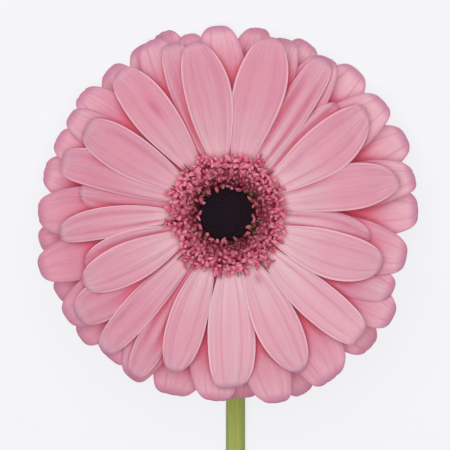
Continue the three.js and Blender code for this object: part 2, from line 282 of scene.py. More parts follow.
class Mesh:
    """Collects closed shells and tubes, and the two vector attributes that their materials read."""

    def __init__(self):
        self.points, self.faces, self.places, self.marks = [], [], [], []
        self.count = 0

    def add(self, points, faces, place, mark):
        shape = np.shape(points)
        for kept, values in ((self.points, points), (self.places, place), (self.marks, mark)):
            kept.append(np.broadcast_to(values, shape).reshape(-1, 3))
        self.faces.append(np.asarray(faces) + self.count)
        self.count += len(self.points[-1])

    def shell(self, upper, lower, place, mark_upper, mark_lower):
        """A closed blade from two grids of points, rows by columns, with walls round its edges."""
        rows, columns = upper.shape[:2]
        top = np.arange(rows * columns).reshape(rows, columns)
        rim = np.concatenate([top[:, 0], top[-1, 1:], top[-2::-1, -1], top[0, -2:0:-1]])
        under, rim_under = top + rows * columns, rim + rows * columns
        walls = np.stack([rim, rim_under, np.roll(rim_under, -1), np.roll(rim, -1)], axis=1)
        faces = np.concatenate([quads(top), quads(under)[:, ::-1], walls])
        marks = [np.broadcast_to(mark, upper.shape) for mark in (mark_upper, mark_lower)]
        self.add(np.concatenate([upper, lower]), faces, np.concatenate([place] * 2), np.concatenate(marks))

    def tube(self, rings, place, mark):
        """A closed tube from rings of points, each running left round the way that the rings follow on."""
        rows, sides = rings.shape[:2]
        index = np.arange(rows * sides).reshape(rows, sides)
        closed = np.concatenate([index, index[:, :1]], axis=1)
        centres = [rows * sides, rows * sides + 1]
        faces = [quads(closed)[:, ::-1]]
        for centre, row in zip(centres, (closed[0, ::-1], closed[-1])):
            faces.append([(centre, a, b, b) for a, b in zip(row, row[1:])])
        given = []
        for values in (rings, place, mark):
            values = np.broadcast_to(values, rings.shape)
            given.append(np.concatenate([values.reshape(-1, 3), values[[0, -1]].mean(axis=1)]))
        points, places, marks = given
        self.add(points, np.concatenate(faces), places, marks)

    def build(self, name, material, to_world=head_to_world):
        points = to_world(np.concatenate(self.points))
        faces = [list(dict.fromkeys(face)) for face in np.concatenate(self.faces).tolist()]
        mesh = bpy.data.meshes.new(name)
        mesh.from_pydata(points.tolist(), [], faces)
        mesh.shade_smooth()
        for label, values in (("place", self.places), ("mark", self.marks)):
            layer = mesh.attributes.new(label, "FLOAT_VECTOR", "POINT")
            layer.data.foreach_set("vector", np.concatenate(values).astype(np.float32).ravel())
        mesh.materials.append(material)
        mesh.validate()
        return put_in_scene(name, mesh)


def put_in_scene(name, data):
    made = bpy.data.objects.new(name, data)
    bpy.context.scene.collection.objects.link(made)
    return made


def quads(index):
    """The faces of a grid of vertex numbers, facing the side from which its rows and columns turn left."""
    return np.stack([index[:-1, :-1], index[1:, :-1], index[1:, 1:], index[:-1, 1:]], axis=-1).reshape(-1, 4)


def vectors(x, y, z):
    return np.stack(np.broadcast_arrays(x, y, z), axis=-1).astype(float)


class Nodes:
    """A material's shader, with short ways to add and join its nodes."""

    def __init__(self, name):
        self.material = bpy.data.materials.new(name)
        self.material.use_nodes = True
        self.tree = self.material.node_tree
        self.shader = self.tree.nodes["Principled BSDF"]

    def add(self, kind, inputs=(), **settings):
        node = self.tree.nodes.new("ShaderNode" + kind)
        for key, value in settings.items():
            setattr(node, key, value)
        for socket, value in dict(inputs).items():
            self.put(node.inputs[socket], value)
        return node

    def put(self, socket, value):
        if isinstance(value, bpy.types.NodeSocket):
            self.tree.links.new(value, socket)
        else:
            socket.default_value = value

    def attribute(self, name):
        """A vector attribute and its three numbers."""
        vector = self.add("Attribute", attribute_name=name).outputs["Vector"]
        parts = self.add("SeparateXYZ", {0: vector})
        return vector, *parts.outputs

    def math(self, operation, a, b=0.0, c=0.0):
        return self.add("Math", {0: a, 1: b, 2: c}, operation=operation).outputs[0]

    def band(self, value, low, high):
        """Smoothly from 0 at low to 1 at high."""
        inputs = {"Value": value, "From Min": low, "From Max": high}
        return self.add("MapRange", inputs, interpolation_type="SMOOTHSTEP").outputs["Result"]

    def bump_of(self, value, centre, width):
        """A bell-shaped line of a value round a centre."""
        away = self.math("DIVIDE", self.math("SUBTRACT", value, centre), width)
        return self.math("EXPONENT", self.math("MULTIPLY", self.math("MULTIPLY", away, away), -1.0))

    def mix(self, share, a, b):
        inputs = {"Factor": share, "A": a, "B": b}
        return self.add("Mix", inputs, data_type="RGBA", clamp_factor=True).outputs["Result"]

    def over(self, skin, value, share, tint):
        """A colour laid over the skin in a share of a value."""
        return self.mix(self.math("MULTIPLY", value, share), skin, colour(*tint))

    def wash(self, skin, value, edges, share, tint):
        """A colour laid over the skin in up to a share, as a value runs from the first edge to the second."""
        return self.over(skin, self.band(value, *edges), share, tint)

    def ramp(self, value, stops):
        """Colours at places along a value."""
        node = self.add("ValToRGB", {"Fac": value})
        elements = node.color_ramp.elements
        while len(elements) < len(stops):
            elements.new(0.5)
        for element, (position, tint) in zip(elements, stops):
            element.position = position
            element.color = colour(*tint)
        return node.outputs["Color"]

    def noise(self, vector, stretch, detail=3):
        """Noise, finer along the axes that are stretched more."""
        scaled = self.add("VectorMath", {0: vector, 1: stretch}, operation="MULTIPLY").outputs[0]
        inputs = {"Vector": scaled, "Scale": 1, "Detail": detail, "Roughness": 0.55}
        return self.add("TexNoise", inputs, noise_dimensions="3D").outputs["Fac"]

    def relief(self, height, distance, strength):
        inputs = {"Height": height, "Distance": distance, "Strength": strength}
        self.put(self.shader.inputs["Normal"], self.add("Bump", inputs).outputs["Normal"])

    def finish(self, tint, roughness, **fixed):
        self.put(self.shader.inputs["Base Color"], tint)
        self.put(self.shader.inputs["Roughness"], roughness)
        for name, value in fixed.items():
            self.shader.inputs[name.replace("_", " ")].default_value = value
        return self.material


# Materials

def petal_material(name, tip, margin, dull_from, wear):
    """Pale at the root and pinker outwards, with soft bands, a thin light margin, and deep rose painted shade
    where other petals stand above.

    The margin's lightness is partly a painted highlight on its raised rim, and darker lines along the creases
    and just inside the margin are painted shade. The margin turns a dull mauve from a share of the length, a
    painted shade where the edge turns away, and the outer part is mottled with wear. The mark "under" is 1 on
    the lower face, and below 0 where the upper face is stained.
    """
    n = Nodes(name)
    place, along, across, tone = n.attribute("place")
    _, rim, under, painted_shade = n.attribute("mark")
    # The deepest rose at the very root, next to the florets, is partly a painted shade where they overhang
    # it.
    skin = n.ramp(along, [
        (0.12, (240, 172, 184)), (0.18, (240, 190, 198)), (0.3, (226, 176, 187)),
        (0.55, (222, 155, 171)), (0.78, (219, 152, 169)), (0.95, tip),
    ])
    bands = n.noise(place, (1.1, 3.6, 43), detail=2)
    skin = n.wash(skin, bands, (0.45, 0.75), 0.5, (216, 138, 164))
    skin = n.wash(skin, bands, (0.5, 0.2), 0.35, (225, 180, 192))
    veins = n.noise(place, (1.6, 15, 43))
    skin = n.wash(skin, veins, (0.5, 0.75), 0.4, (202, 124, 150))
    clouds = n.noise(place, (2.4, 1.1, 91), detail=1)
    skin = n.wash(skin, clouds, (0.56, 0.8), 0.35, (216, 132, 172))
    mottle = n.noise(place, (9, 6, 57))
    worn = n.math("MULTIPLY", n.band(along, 0.65, 0.95), n.band(mottle, 0.42, 0.7))
    skin = n.over(skin, worn, wear, (198, 134, 158))
    # Painted light with a random tone: the third place number is higher towards each whorl's palest bearing,
    # which paints that side lighter and the other deeper.
    skin = n.wash(skin, tone, (0.5, 1), 0.42, (240, 198, 207))
    skin = n.wash(skin, tone, (0.5, 0), 0.42, (206, 124, 148))
    side = n.math("ABSOLUTE", across)
    # Painted shade: darker lines along the creases of the grooves and just inside the margin.
    creases = n.math("MULTIPLY_ADD", tone, 0.3, 0.05)
    skin = n.over(skin, n.bump_of(side, 0.43, 0.06), creases, (196, 104, 132))
    skin = n.over(skin, n.bump_of(side, 0.87, 0.05), 0.3, (205, 118, 146))
    skin = n.over(skin, under, -0.65, (196, 84, 140))
    # The light margin: partly the thin margin's own colour, partly a painted highlight on its raised rim.
    skin = n.over(skin, rim, 0.65, margin)
    # Painted shade: towards the tip the margin turns a dull mauve, where its edge turns away.
    dull = n.math("MULTIPLY", n.band(along, dull_from, dull_from + 0.12), rim)
    skin = n.over(skin, dull, 0.85, (184, 124, 150))
    # Painted shade: deep rose where other petals stand above, as in the crevices between them.
    skin = n.wash(skin, painted_shade, (0.03, 0.4), 0.7, (210, 109, 134))
    skin = n.wash(skin, painted_shade, (0.2, 0.7), 0.95, (214, 80, 106))
    underside = n.mix(n.band(veins, 0.35, 0.65), colour(214, 166, 180), colour(200, 138, 158))
    skin = n.mix(under, skin, underside)
    n.relief(veins, 0.0003, 0.5)
    roughness = n.math("MULTIPLY_ADD", veins, 0.15, 0.5)
    return n.finish(skin, roughness, Specular_IOR_Level=0.25, Sheen_Weight=0.1, Sheen_Roughness=0.5,
                    Subsurface_Weight=0.3, Subsurface_Radius=(1, 0.35, 0.45), Subsurface_Scale=0.0012)


def floret_material():
    """Crimson below, with rose-pink curled lobes, and darker towards the eye.

    The crimson low down is partly painted shade in the gaps between florets, and the lobes are lightest at
    the crest of their curl as a painted highlight.
    """
    n = Nodes("floret_skin")
    place, along, across, tone = n.attribute("place")
    _, inner, dark, olive = n.attribute("mark")
    # Painted shade and highlight: crimson low down, in the gaps between florets, lightest at the crest of
    # each lobe's curl and a little deeper where it curls under.
    skin = n.ramp(along, [
        (0, (170, 34, 72)), (0.42, (206, 70, 104)), (0.62, (226, 104, 132)),
        (0.85, (246, 148, 168)), (1, (234, 124, 150)),
    ])
    mottle = n.noise(place, (3, 2, 57), detail=2)
    skin = n.wash(skin, mottle, (0.45, 0.75), 0.5, (180, 62, 96))
    skin = n.wash(skin, tone, (0.45, 1), 0.5, (236, 144, 168))
    skin = n.wash(skin, tone, (0.5, 0), 0.6, (178, 58, 90))
    skin = n.over(skin, inner, 0.88, (116, 16, 40))
    skin = n.over(skin, dark, 1, (62, 16, 26))
    skin = n.over(skin, olive, 1, (112, 84, 58))
    edges = n.math("POWER", n.math("ABSOLUTE", across), 3)
    skin = n.over(skin, edges, 0.25, (178, 60, 92))
    n.relief(mottle, 0.0002, 0.3)
    return n.finish(skin, n.math("MULTIPLY_ADD", mottle, 0.2, 0.42), Specular_IOR_Level=0.18,
                    Subsurface_Weight=0.25, Subsurface_Radius=(1, 0.3, 0.4), Subsurface_Scale=0.0008)


def eye_material():
    """Near-black, faintly purple bud tips."""
    n = Nodes("eye_skin")
    place, along, _, _ = n.attribute("place")
    skin = n.ramp(along, [(0, (38, 27, 35)), (0.7, (41, 29, 38))])
    grain = n.noise(place, (6, 6, 31), detail=2)
    skin = n.wash(skin, grain, (0.5, 0.8), 1, (36, 24, 36))
    n.relief(grain, 0.0001, 0.2)
    return n.finish(skin, n.math("MULTIPLY_ADD", grain, 0.15, 0.8), Specular_IOR_Level=0.06)


def bract_material():
    """Green bracts with a paler midrib, veins and purple-brown points."""
    n = Nodes("bract_skin")
    place, along, across, _ = n.attribute("place")
    skin = n.ramp(along, [
        (0, (122, 140, 74)), (0.6, (96, 124, 58)),
        (0.88, (88, 96, 56)), (1, (86, 56, 60)),
    ])
    veins = n.noise(place, (1.5, 9, 23))
    skin = n.wash(skin, veins, (0.45, 0.7), 1, (72, 98, 44))
    skin = n.over(skin, n.bump_of(across, 0, 0.12), 0.5, (146, 164, 96))
    n.relief(veins, 0.0003, 0.5)
    return n.finish(skin, n.math("MULTIPLY_ADD", veins, 0.2, 0.55), Specular_IOR_Level=0.3)


def stem_material():
    """Yellow-green skin with long fine streaks and small pale flecks, and painted shade towards its sides."""
    n = Nodes("stem_skin")
    place, along, across, _ = n.attribute("place")
    skin = n.ramp(along, [
        (0, (166, 172, 92)), (0.08, (176, 184, 94)), (1, (164, 178, 88)),
    ])
    streaks = n.noise(place, (14, 7, 7), detail=4)
    skin = n.wash(skin, streaks, (0.4, 0.7), 1, (142, 158, 70))
    flecks = n.noise(place, (420, 14, 14), detail=1)
    skin = n.wash(skin, flecks, (0.62, 0.75), 0.3, (186, 192, 122))
    # Painted shade: darker towards the stem's left and right sides, where it rounds away.
    edge = n.band(n.math("ABSOLUTE", across), 0.6, 1)
    skin = n.over(skin, edge, 0.6, (120, 130, 62))
    n.relief(streaks, 0.0004, 0.4)
    return n.finish(skin, n.math("MULTIPLY_ADD", streaks, 0.2, 0.4), Specular_IOR_Level=0.35)


def cut_material():
    """The cut face: a green rind, pale flesh with fibre bundles and a spongy pith."""
    n = Nodes("cut_skin")
    place, outward, _, _ = n.attribute("place")
    cells = n.noise(place, (9, 9, 9), detail=4)
    skin = n.ramp(outward, [
        (0, (196, 204, 158)), (0.45, (212, 216, 172)), (0.8, (178, 192, 118)),
        (0.93, (140, 156, 78)), (1, (118, 136, 62)),
    ])
    skin = n.wash(skin, cells, (0.5, 0.7), 0.4, (150, 146, 96))
    n.relief(cells, 0.0004, 0.6)
    return n.finish(skin, n.math("MULTIPLY_ADD", cells, 0.2, 0.5), Specular_IOR_Level=0.4)


def hair_material():
    """Pale hairs, lightest at the tip."""
    n = Nodes("hair_skin")
    _, along, _, _ = n.attribute("place")
    skin = n.ramp(along, [(0, (170, 178, 120)), (1, (222, 224, 196))])
    return n.finish(skin, 0.6, Specular_IOR_Level=0.2)


# Petals

def petal_outline(s, v, root_width, tip):
    """Across as a share of half the width and along as a share of the length, as in the solids."""
    swell = np.sin((math.pi / 2) * np.clip(s / PETAL_SHOULDER, 0, 1)) ** 1.1
    t = np.clip((s - PETAL_SHOULDER) / (1 - PETAL_SHOULDER), 0, 1)
    edge = np.sin(TIP_ARC * t)
    dip = 1 - np.sqrt(1 - np.abs(v) ** (2 / tip) * math.cos(TIP_ARC) ** 2)
    bow = dip / (1 - math.sin(TIP_ARC))
    before = s <= PETAL_SHOULDER
    across = np.where(before, root_width + (1 - root_width) * swell, np.cos(TIP_ARC * t) ** tip)
    along = np.where(before, s, PETAL_SHOULDER + (1 - PETAL_SHOULDER) * (t + (edge - t) * bow))
    return v * across, along


def petal_grid():
    """The rows and columns of a petal: columns crowd towards the margins, so that those are smooth."""
    s = np.linspace(0, 1, PETAL_ROWS)[:, None]
    even = np.linspace(-1, 1, PETAL_COLUMNS)
    v = 0.45 * even + 0.55 * np.sin(math.pi / 2 * even)
    return s, v


def petal_plan(petal, root_width, seed):
    """Where a petal's grid lies in plan: x, y, the offset from its middle line, and the share along it."""
    bearing, reach, width, *shape = petal
    tip = shape[0] if shape else TIP_SHAPE
    turn = shape[1] if len(shape) > 1 else PETAL_SWEEP * draw(seed, 1)
    s, v = petal_grid()
    across, along = petal_outline(s, v, root_width, tip)
    teeth = bell((np.abs(v) - 0.34) / 0.1) * max(0, draw(seed, 11)) * TIP_TEETH / (reach - PETAL_ROOT)
    lopsided = 0.014 * draw(seed, 12) * v
    along = along + smoothstep((s - 0.86) / 0.14) * (lopsided - teeth)
    waver = 1 + 0.02 * np.sin(along * 9 + 6 * draw(seed, 13) + np.sign(v)) * smoothstep(along * 3)
    radius = PETAL_ROOT + (reach - PETAL_ROOT) * along
    offset = across * waver * width / 2
    angle = np.radians(bearing + turn * (along * along - 1))
    x = radius * np.cos(angle) - offset * np.sin(angle)
    y = radius * np.sin(angle) + offset * np.cos(angle)
    return x, y, offset, along


def petal_relief(whorl, v, along, seed):
    """The soft and fine ridges, the thin rim, the waves and the curled tip of a petal."""
    side = np.abs(v)
    grooves = bell((side - 0.42 - 0.05 * draw(seed, 15)) / 0.16)
    shoulders = bell((side - 0.78) / 0.14)
    rim = bell((side - 0.985) / 0.045)
    fold = whorl["fold"] * (1 + 0.4 * draw(seed, 14)) * (1 - 0.75 * smoothstep((along - 0.72) / 0.24))
    profile = fold * (0.1 - 0.5 * grooves + 0.3 * shoulders - 0.1 * side ** 6) + 0.12 * rim
    ridges = 0.045 * np.cos(v * math.pi * 5.5 + 2 * draw(seed, 16)) * (1 - side ** 4)
    wave = 0.22 * np.sin(along * 7 + 3 * draw(seed, 17) + 1.5 * v) * along
    curl = smoothstep((along - 0.8) / 0.2) * (TIP_CURL * draw(seed, 18) * (0.4 + side ** 2) - 0.35)
    return profile + ridges + wave + curl + PETAL_LIFT * draw(seed, 3) * along


def blurred(grid):
    wide = np.pad(grid, 1, mode="edge")
    return (2 * grid + wide[2:, 1:-1] + wide[:-2, 1:-1] + wide[1:-1, 2:] + wide[1:-1, :-2]) / 6


def map_cells(x, y):
    """The column and row of points on the map of heights."""
    return [((place + MAP_HALF) / MAP_CELL).astype(int) for place in (x, y)]


def lift_over(heights, x, y, lower):
    """How far each point of a petal rises, smoothly, so that the petal lies over what is beneath it."""
    column, row = map_cells(x, y)
    needed = np.maximum(heights[row, column] + PETAL_GAP - lower, 0)
    lift = needed
    for _ in range(LAYING_STEPS):
        lift = np.maximum(blurred(lift), needed)
    return blurred(blurred(lift))


def refined(grid):
    """A grid with three points between each two neighbours."""
    for _ in range(4):
        halfway = np.zeros((2 * len(grid) - 1, *grid.shape[1:]))
        halfway[::2] = grid
        halfway[1::2] = (grid[1:] + grid[:-1]) / 2
        grid = halfway.swapaxes(0, 1)
    return grid


def add_to_map(heights, surface):
    points = refined(surface).reshape(-1, 3)
    column, row = map_cells(points[:, 0], points[:, 1])
    np.maximum.at(heights, (row, column), points[:, 2])


def petal_surface(heights, whorl, petal, seed):
    """The upper and lower face of a petal as grids of points, its places, and how near its edge they are."""
    x, y, offset, along = petal_plan(petal, whorl["root_width"], seed)
    s, v = petal_grid()
    edge = np.minimum(1 - np.abs(v), 1.6 * (1 - s))
    thickness = PETAL_THICKNESS * (0.35 + 0.65 * smoothstep(edge / PETAL_MARGIN))
    thickness = thickness * (1.5 - 0.5 * smoothstep(along * 4))
    rise = whorl["rise"] * (1 - (1 - along) ** 2) - whorl["droop"] * along ** 3
    roll = PETAL_ROLL * (1 + 0.4 * draw(seed, 2)) * offset * along
    relief = petal_relief(whorl, v, along, seed) * smoothstep(along * 3)
    middle = whorl["root"] + rise + relief - roll
    middle = middle + lift_over(heights, x, y, middle - thickness / 2)
    upper = soft_max(middle + thickness / 2, floor_in_head(y, thickness), 0.4)
    lower = soft_max(middle - thickness / 2, floor_in_head(y, 0), 0.4)
    # Painted light: each whorl is paler towards one bearing, as if lit more from that side, with a random
    # tone on top.
    light_and_tone = 0.7 * math.cos(math.radians(petal[0] - whorl["pale"])) + 0.3 * draw(seed, 19)
    place = vectors(along, v, 0.5 + 0.5 * light_and_tone)
    return vectors(x, y, upper), vectors(x, y, lower), place, 1 - smoothstep(edge / PETAL_MARGIN)


def grown_petals():
    """The petals of each whorl, each laid over those before it, and the map of the heights of them all."""
    cells = int(2 * MAP_HALF / MAP_CELL)
    heights = np.full((cells, cells), -MAP_HALF, dtype=float)
    grown = {}
    for w, (name, whorl) in enumerate(WHORLS.items()):
        grown[name] = []
        for i, petal in enumerate(whorl["petals"]):
            surface = petal_surface(heights, whorl, petal, 100 * w + i)
            add_to_map(heights, surface[0])
            grown[name].append(surface)
    return grown, heights


def painted_shade(heights, surface):
    """How much the petals round each point of a surface stand above it, from 0 to 1: the share of deep rose
    painted shade there.
    """
    x, y, z = np.moveaxis(surface, -1, 0)
    total = np.zeros(z.shape)
    for distance, share in SHADE_RINGS:
        for turn in angles(SHADE_STEPS):
            column, row = map_cells(x + distance * math.cos(turn), y + distance * math.sin(turn))
            above = heights[row, column] - z - SHADE_START
            total += share / SHADE_STEPS * np.clip(above / (SHADE_SLOPE * distance), 0, 1)
    near, far = SHADE_FADE
    return total * (1 - 0.8 * smoothstep((np.hypot(x, y) - near) / (far - near)))


def stain(petal, place):
    """How deeply each point of a petal is stained, from 0 to 1."""
    if petal[0] not in STAINS:
        return 0
    along, across, length, breadth = STAINS[petal[0]]
    return bell((place[..., 0] - along) / length) * bell((place[..., 1] - across) / breadth)


def petal_pieces(inner_skin, outer_skin):
    grown, heights = grown_petals()
    pieces = []
    for name, surfaces in grown.items():
        whorl = WHORLS[name]
        material = outer_skin if whorl["outermost"] else inner_skin
        mesh = Mesh()
        for petal, (upper, lower, place, rim) in zip(whorl["petals"], surfaces):
            # The upper face's third mark is the deep rose painted shade where other petals stand above it.
            mark_upper = vectors(rim, -stain(petal, place), painted_shade(heights, upper))
            mesh.shell(upper, lower, place, mark_upper, vectors(rim, 1, 0))
        pieces.append(mesh.build(name, material))
    return pieces


def turned(profile, sides):
    """Rings about +Z from radius and height pairs."""
    angle = angles(sides)
    return np.array([vectors(r * np.cos(angle), r * np.sin(angle), height) for r, height in profile])


def receptacle(material):
    """The short hub that the petals grow from."""
    mesh = Mesh()
    profile = [
        (3, 0.1), (HUB_RADIUS - 1.8, 0.1), (HUB_RADIUS - 1, 0.9), (HUB_RADIUS - 0.3, 3),
        (HUB_RADIUS - 0.4, 5), (HUB_RADIUS - 1.2, HUB_HEIGHT), (6, HUB_HEIGHT + 0.1),
    ]
    # Painted shade: the hub's upper part, which shows between the petals' roots, takes the petals' deep rose
    # painted shade.
    hub_painted_shade = np.array([0, 0, 0, 0.3, 1, 1, 1])[:, None]
    mesh.tube(turned(profile, DISC_SIDES), (0.05, 0, 0.5), vectors(0, 0, hub_painted_shade))
    return mesh.build("receptacle", material)


# Disc florets

def bent(points, lean):
    """Points of a floret's own frame, leaned by an angle from the head's axis towards its rim."""
    x, y, z = np.moveaxis(points, -1, 0)
    return vectors(x * math.cos(lean) + z * math.sin(lean), y, -x * math.sin(lean) + z * math.cos(lean))


def turned_about_axis(points, angle):
    x, y, z = np.moveaxis(points, -1, 0)
    return vectors(x * math.cos(angle) - y * math.sin(angle), x * math.sin(angle) + y * math.cos(angle), z)


def straight_tube(girths, heights):
    """Rings round +Z from columns of girths and heights."""
    angle = angles(TUBE_SIDES)
    return vectors(girths * np.cos(angle), girths * np.sin(angle), heights)


def curled_lobe(start, radius, turn, half, drift, around=0):
    """The two faces of a strap that rises from a start, curls over and comes down again, and its places."""
    share = np.linspace(0, 1, LOBE_ROWS)[:, None]
    v = np.linspace(-1, 1, LOBE_COLUMNS)
    angle = LOBE_START + turn * share
    width = half * (0.55 + 0.45 * smoothstep(1.8 * share)) * (1 - 0.65 * share ** 4)
    faces = []
    for depth in (LOBE_THICKNESS / 2, -LOBE_THICKNESS / 2):
        out = radius * (1 - 0.1 * angle) + depth - 0.3 * half * v ** 2
        x = radius * math.cos(LOBE_START) - out * np.cos(angle)
        strap = start + vectors(x, width * v + drift * share ** 2, out * np.sin(angle))
        faces.append(turned_about_axis(strap, around))
    return faces, vectors(0.45 + 0.55 * share ** 0.8, v, 0)


def spiral(i, count, inner, outer):
    """The radius and bearing of one of a number of florets that stand evenly between two radii."""
    share = (i + 0.5) / count
    return math.sqrt(inner ** 2 + share * (outer ** 2 - inner ** 2)), i * GOLDEN_ANGLE


def set_on_disc(points, radius, bearing, lean, twist=0):
    """Points of a floret's own frame, twisted, leaned outwards and moved to its foot."""
    foot = np.array([radius, 0, FLORET_FOOT])
    return turned_about_axis(bent(turned_about_axis(points, twist), lean) + foot, bearing)


def tuft_at(bearing):
    """How far the florets at a bearing, in radians, stand out."""
    total = 0
    for place, strength in FLORET_TUFTS:
        away = (math.degrees(bearing) - place + 180) % 360 - 180
        total += strength * bell(away / TUFT_SPREAD)
    return total


def darkness_at(bearing):
    """How dark the inner florets at a bearing are, from 0 to 1."""
    return 0.5 + 0.5 * math.cos(bearing - DARKEST_BEARING)


def add_lobe(mesh, lobe, tone, inner, put):
    faces, place = lobe
    place[..., 2] = tone
    mark = (inner, 0, 0)
    mesh.shell(put(faces[0]), put(faces[1]), place, mark, mark)


def add_point(mesh, girth, length, mark, put):
    """A slender pointed tube, such as a style or a closed bud."""
    rows = np.array([[0], [0.5], [0.8], [0.94], [1]])
    girths = np.array([[0.75], [1], [0.8], [0.45], [0.06]])
    tube = straight_tube(girth * girths, length * rows)
    inner, dark, olive = mark
    mark = vectors(inner, dark, olive * smoothstep((rows - 0.25) / 0.3))
    mesh.tube(put(tube), vectors(rows, 0, 0.5), mark)


def add_leaning_point(mesh, girth, length, mark, radius, bearing, lean, twist=0):
    """A slender point that leans outwards by an angle, or, with a twist, to another side."""
    def put(points):
        return set_on_disc(bent(points, lean), radius, bearing, 0, twist)

    add_point(mesh, girth, length, mark, put)


def add_floret(mesh, i):
    """An open floret: a tube with three curled lobes, the outermost the largest, and often a style."""
    radius, bearing = spiral(i, FLORETS, FLORET_INNER, FLORET_OUTER)
    radius += 0.35 * draw(i, 31)
    bearing += 0.05 * draw(i, 32)
    out = min(1, max(0, (radius - FLORET_INNER) / (FLORET_OUTER - FLORET_INNER)))
    tuft = tuft_at(bearing) * out ** 3
    lean = math.radians(-24 + 60 * out ** 0.8 + 18 * draw(i, 33) + 18 * tuft)
    height = 2 + 0.6 * math.sin(math.pi * out) + 0.5 * draw(i, 34) + 1.5 * tuft
    size = (0.8 + 0.2 * smoothstep(out * 2.2)) * (1 + 0.2 * draw(i, 35))
    dark = darkness_at(bearing)
    inner = (1 - smoothstep(out / (0.75 + 0.1 * dark))) * min(1, 0.76 + 0.2 * dark + 0.2 * draw(i, 37))
    twist = 1.1 * draw(i, 36)

    def put(points):
        return set_on_disc(points, radius, bearing, lean, twist)

    steps = np.linspace(0, 1, 4)[:, None]
    tube = straight_tube(0.4 + 0.14 * steps, height * steps)
    mesh.tube(put(tube), vectors(0.4 * steps, 0, 0.5), (inner, 0, 0))
    start = np.array([0.12, 0, height - 0.3])
    for k, share in enumerate(FLORET_LOBES):
        reach = size * share * (1 + 0.25 * draw(i, 40 + k))
        turn = 1.75 + 0.45 * draw(i, 43 + k)
        half = size * (0.42 + 0.1 * share + 0.07 * draw(i, 57 + k))
        around = 2 * math.pi * (k + 0.2 * draw(i, 49 + k)) / 3
        lobe = curled_lobe(start, reach, turn, half, 0.6 * draw(i, 46 + k), around)
        add_lobe(mesh, lobe, 0.5 + 0.5 * draw(i, 52 + k), inner, put)
    if draw(i, 55) > -0.2:
        add_point(mesh, 0.15, height + 0.8 + 0.5 * draw(i, 56), (0.3, 0.6 - 0.5 * out, 0), put)


def add_closed_bud(mesh, i):
    """A closed floret next to the eye: a pointed maroon or crimson bud, some with an olive tip."""
    radius, bearing = spiral(i, FLORET_BUDS, BUD_INNER, BUD_OUTER)
    bearing += 0.06 * draw(i, 61)
    ripe = draw(i, 62) > 0.2
    length = 2.4 + 0.6 * draw(i, 65) + 0.5 * ripe
    mark = (0.8 + 0.2 * draw(i, 67), max(0, 0.5 + 0.5 * draw(i, 66)), 0.95 * ripe)
    lean = math.radians(22 + 16 * draw(i, 63))
    add_leaning_point(mesh, 0.6 + 0.12 * draw(i, 68), length, mark, radius, bearing, lean, 3 * draw(i, 64))


def add_inward_lobe(mesh, i):
    """A mauve-pink lobe that leans in over the edge of the eye."""
    bearing = 2 * math.pi * (i + 0.7 * draw(i, 71)) / INWARD_LOBES
    start = np.array([0, 0, 1.6 + 0.4 * draw(i, 72)])
    reach = 1.4 + 0.6 * draw(i, 73)
    lobe = curled_lobe(start, reach, 1.35 + 0.35 * draw(i, 74), 0.58 + 0.16 * draw(i, 75), draw(i, 70))
    foot = INWARD_LOBE_RADIUS + 0.7 * draw(i, 76) + 0.8 * darkness_at(bearing)
    twist = math.pi + 1.1 * draw(i, 77)

    def put(points):
        return set_on_disc(points, foot, bearing, math.radians(-12), twist)

    add_lobe(mesh, lobe, 0.5 + 0.3 * draw(i, 78), 0.6 + 0.25 * draw(i, 79), put)


def add_long_styles(mesh):
    """Slender dark points that stick out from each tuft, and olive ones that cross at the edge of the eye."""
    for i, (tuft, strength) in enumerate(FLORET_TUFTS * 2):
        bearing = math.radians(tuft + 4 * draw(i, 81))
        lean = math.radians(60 + 8 * draw(i, 82))
        length = 3 + 1.6 * strength + 0.6 * draw(i, 83)
        add_leaning_point(mesh, 0.24, length, (0.3, 0.3, 0), FLORET_OUTER, bearing, lean)
    for i in range(INNER_STYLES):
        bearing = 2 * math.pi * (i + 0.6 * draw(i, 84)) / INNER_STYLES
        lean = math.radians(52 - 16 * draw(i, 85))
        length = 3.4 + 0.7 * draw(i, 86)
        twist = math.pi + draw(i, 87)
        add_leaning_point(mesh, 0.17, length, (0.6, 0.1, 0.9), INNER_STYLE_RADIUS, bearing, lean, twist)


def florets(material):
    mesh = Mesh()
    profile = [
        (14.8, DISC_FLOOR - 0.2), (14.4, DISC_FLOOR + 1.7), (13.4, DISC_FLOOR + 2.7), (11, DISC_FLOOR + 2.8),
        (9.5, DISC_FLOOR + 2.2), (EYE_RADIUS + 0.3, DISC_FLOOR + 1.5), (EYE_RADIUS + 0.2, DISC_FLOOR),
    ]
    # The disc's floor shows only in the gaps between florets; its crimson, darker next to the eye, is partly
    # painted shade.
    next_to_eye = np.array([0.3, 0.3, 0.4, 0.7, 1, 1, 1])[:, None]
    dark = 0.9 * next_to_eye ** 2
    mesh.tube(turned(profile, DISC_SIDES), (0.1, 0, 0.5), vectors(next_to_eye, dark, 0))
    for i in range(FLORETS):
        add_floret(mesh, i)
    for i in range(FLORET_BUDS):
        add_closed_bud(mesh, i)
    for i in range(INWARD_LOBES):
        add_inward_lobe(mesh, i)
    add_long_styles(mesh)
    return mesh.build("florets", material)


# Eye

